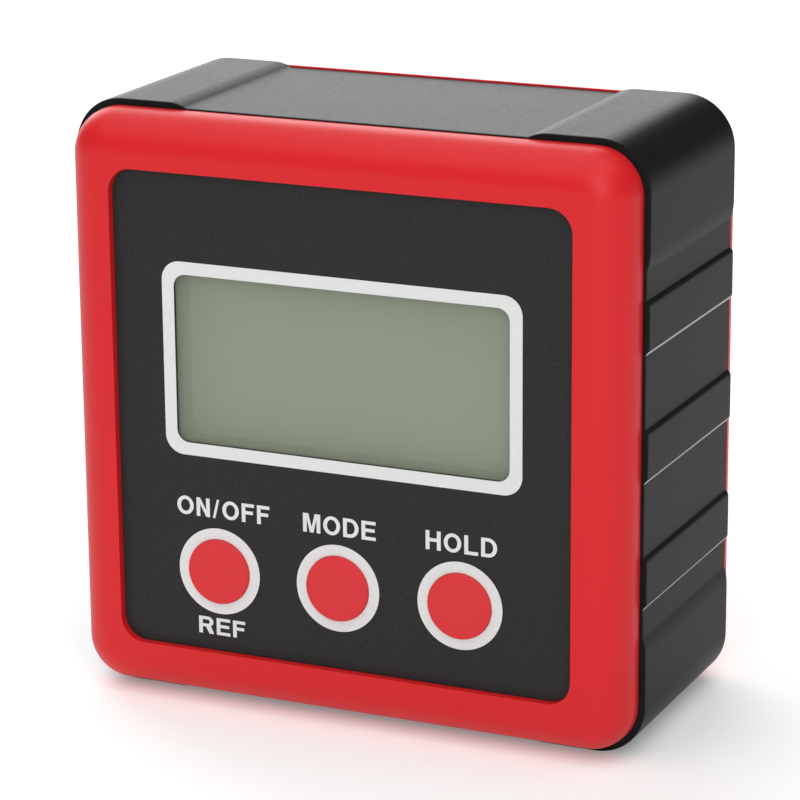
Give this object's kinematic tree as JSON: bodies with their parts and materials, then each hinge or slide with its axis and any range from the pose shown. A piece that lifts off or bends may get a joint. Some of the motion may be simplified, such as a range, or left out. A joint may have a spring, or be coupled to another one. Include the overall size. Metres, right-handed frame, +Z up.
{
  "type": "digital angle gauge",
  "caption": "Square digital angle gauge: ribbed dark metal case, red front bezel and rear cover, black panel with display, press keys and a sliding battery door.",
  "frame": {"origin": "middle of the base, at the level of the base pads", "axes": "+X to the right seen from the front, +Y from the front to the rear, +Z up"},
  "size_m": [0.054, 0.0274, 0.054],
  "materials": {
    "case_metal": "satin black coat on aluminium",
    "red_plastic": "moulded, satin",
    "black_film": "fine grain",
    "clear_plate": "clear",
    "display_glass": "grey-green display",
    "white_plastic": "moulded",
    "strip_rubber": "matte",
    "board": "green resist",
    "chip_plastic": "matte",
    "key_plastic": "matte",
    "screw_steel": "plated",
    "contact_steel": "nickel plated",
    "cell_sleeve": "printed sleeve",
    "magnet_plating": "nickel plated"
  },
  "bodies": {
    "case": {"body_frame": "case_metal", "front_bezel": "red_plastic", "front_overlay": "black_film", "display_window": "clear_plate", "lcd_panel": "display_glass", "lcd_holder": "white_plastic", "contact_strips": "strip_rubber", "main_board": "board", "microcontroller": "chip_plastic", "tilt_sensor": "chip_plastic", "key_switches": "chip_plastic", "board_screws": "screw_steel", "rear_cover": "red_plastic", "battery_upper": "cell_sleeve", "battery_lower": "cell_sleeve", "link_plate": "contact_steel", "positive_plate": "contact_steel", "negative_plate": "contact_steel", "contact_springs": "contact_steel", "case_screws": "screw_steel", "base_magnets": "magnet_plating"},
    "on_off_key": {"on_off_button": "key_plastic", "on_off_plunger": "white_plastic"},
    "mode_key": {"mode_button": "key_plastic", "mode_plunger": "white_plastic"},
    "hold_key": {"hold_button": "key_plastic", "hold_plunger": "white_plastic"},
    "door": {"battery_door": "red_plastic"}
  },
  "joints": [
    {"name": "on_off_press", "type": "slide", "parent": "case", "child": "on_off_key", "axis": [0, 1, 0], "range_m": [0, 0.00025], "stiffness_N_per_m": 800},
    {"name": "mode_press", "type": "slide", "parent": "case", "child": "mode_key", "axis": [0, 1, 0], "range_m": [0, 0.00025], "stiffness_N_per_m": 800},
    {"name": "hold_press", "type": "slide", "parent": "case", "child": "hold_key", "axis": [0, 1, 0], "range_m": [0, 0.00025], "stiffness_N_per_m": 800},
    {"name": "battery_door_slide", "type": "slide", "parent": "case", "child": "door", "axis": [-1, 0, 0], "range_m": [0, 0.046]}
  ]
}
